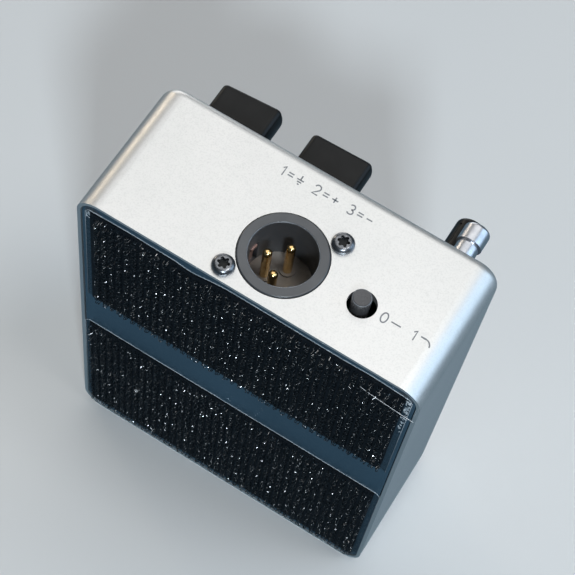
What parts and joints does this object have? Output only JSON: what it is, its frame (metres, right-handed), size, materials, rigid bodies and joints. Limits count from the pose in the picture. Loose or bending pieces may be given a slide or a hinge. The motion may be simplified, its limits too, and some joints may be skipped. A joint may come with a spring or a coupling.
{
  "type": "direct injection box",
  "caption": "Compact satin-silver direct injection box: balanced output socket and push button on one end, rotary controls and a footswitch on its face, hook tape on its base.",
  "frame": {"origin": "centre of the front end face, halfway through the enclosure's depth; the unit stands on that end", "axes": "+Z out of the connector panel, -Y out of the control face, +Y out of the base plate, +X to the right when looking at the control face. To lay the unit on its base as in use, turn it -90 degrees about X"},
  "size_m": [0.096, 0.0577, 0.1306],
  "materials": {
    "shell": "bead-blasted and clear anodised, satin silver",
    "plate": "smooth slate-blue coating, satin",
    "steel": "machined and plated steel",
    "film": "clear adhesive film, glossy",
    "tape": "black moulded nylon hooks",
    "socket_plastic": "dark grey moulded plastic, fine grain",
    "carrier_plastic": "mid grey moulded plastic",
    "gold": "gold plated, polished",
    "copper": "copper alloy strip",
    "circuit_board": "green solder mask",
    "button_plastic": "dark grey moulded plastic",
    "black_plastic": "black moulded plastic, satin",
    "knob_plastic": "black moulded plastic, satin with fine wear",
    "pointer": "white filled line",
    "bright_metal": "turned and polished metal",
    "lamp": "diffused lens",
    "iron": "stacked laminations",
    "winding": "yellow winding tape",
    "chip": "black epoxy",
    "capacitor_sleeve": "dark blue shrink sleeve",
    "film_capacitor": "red box moulding",
    "resistor": "ceramic with a black coat",
    "ribbon": "grey flat cable"
  },
  "bodies": {
    "unit": {"enclosure_shell": "shell", "base_plate": "plate", "base_plate_screws": "steel", "adhesive_film_rear": "film", "adhesive_film_front": "film", "hook_tape_rear": "tape", "hook_tape_front": "tape", "xlr_housing": "socket_plastic", "xlr_contact_carrier": "carrier_plastic", "xlr_pins": "gold", "xlr_ground_contact": "copper", "xlr_screws": "steel", "output_board": "circuit_board", "button_switch_case": "black_plastic", "button_spring": "steel", "level_pot_body": "steel", "blend_pot_body": "steel", "pot_nuts": "bright_metal", "pot_washers": "steel", "metal_trim_pot_body": "black_plastic", "black_trim_pot_body": "black_plastic", "footswitch_body": "bright_metal", "footswitch_washer": "black_plastic", "footswitch_nut": "bright_metal", "footswitch_lugs": "bright_metal", "status_lamp_lens": "lamp", "status_lamp_bezel": "bright_metal", "input_jack": "black_plastic", "output_jack": "black_plastic", "jack_contacts": "bright_metal", "dc_inlet": "black_plastic", "dc_centre_pin": "bright_metal", "main_board": "circuit_board", "board_standoffs": "gold", "board_screws": "steel", "audio_chips": "chip", "electrolytic_capacitors": "capacitor_sleeve", "film_capacitors": "film_capacitor", "chip_resistors": "resistor", "transformer_core": "iron", "transformer_coil": "winding", "ribbon_cable": "ribbon", "ribbon_headers": "black_plastic"},
    "button": {"button_plunger": "black_plastic", "button_cap": "button_plastic"},
    "level_control": {"level_pot_shaft": "steel", "level_knob": "knob_plastic", "level_knob_pointer": "pointer"},
    "blend_control": {"blend_pot_shaft": "steel", "blend_knob": "knob_plastic", "blend_knob_pointer": "pointer"},
    "metal_trim_control": {"metal_trim_shaft": "steel", "metal_trim_knob": "bright_metal"},
    "black_trim_control": {"black_trim_shaft": "steel", "black_trim_knob": "knob_plastic"},
    "footswitch_plunger": {"footswitch_button": "bright_metal"}
  },
  "joints": [
    {"name": "button_press", "type": "slide", "parent": "unit", "child": "button", "axis": [0, 0, -1], "range_m": [0, 0.0025], "stiffness_N_per_m": 60, "springref_m": -0.002, "deforming": ["button_spring"]},
    {"name": "level_turn", "type": "hinge", "parent": "unit", "child": "level_control", "pos_m": [0.0296, -0.02, 0.1155], "axis": [0, -1, 0], "range_deg": [-143, 157]},
    {"name": "blend_turn", "type": "hinge", "parent": "unit", "child": "blend_control", "pos_m": [0.0031, -0.02, 0.1155], "axis": [0, -1, 0], "range_deg": [-147.2, 152.8]},
    {"name": "metal_trim_turn", "type": "hinge", "parent": "unit", "child": "metal_trim_control", "pos_m": [-0.0364, -0.02, 0.1195], "axis": [0, -1, 0], "range_deg": [-135, 135]},
    {"name": "black_trim_turn", "type": "hinge", "parent": "unit", "child": "black_trim_control", "pos_m": [-0.0341, -0.02, 0.1095], "axis": [0, -1, 0], "range_deg": [-135, 135]},
    {"name": "footswitch_press", "type": "slide", "parent": "unit", "child": "footswitch_plunger", "axis": [0, 1, 0], "range_m": [0, 0.004], "stiffness_N_per_m": 800, "springref_m": -0.003}
  ]
}
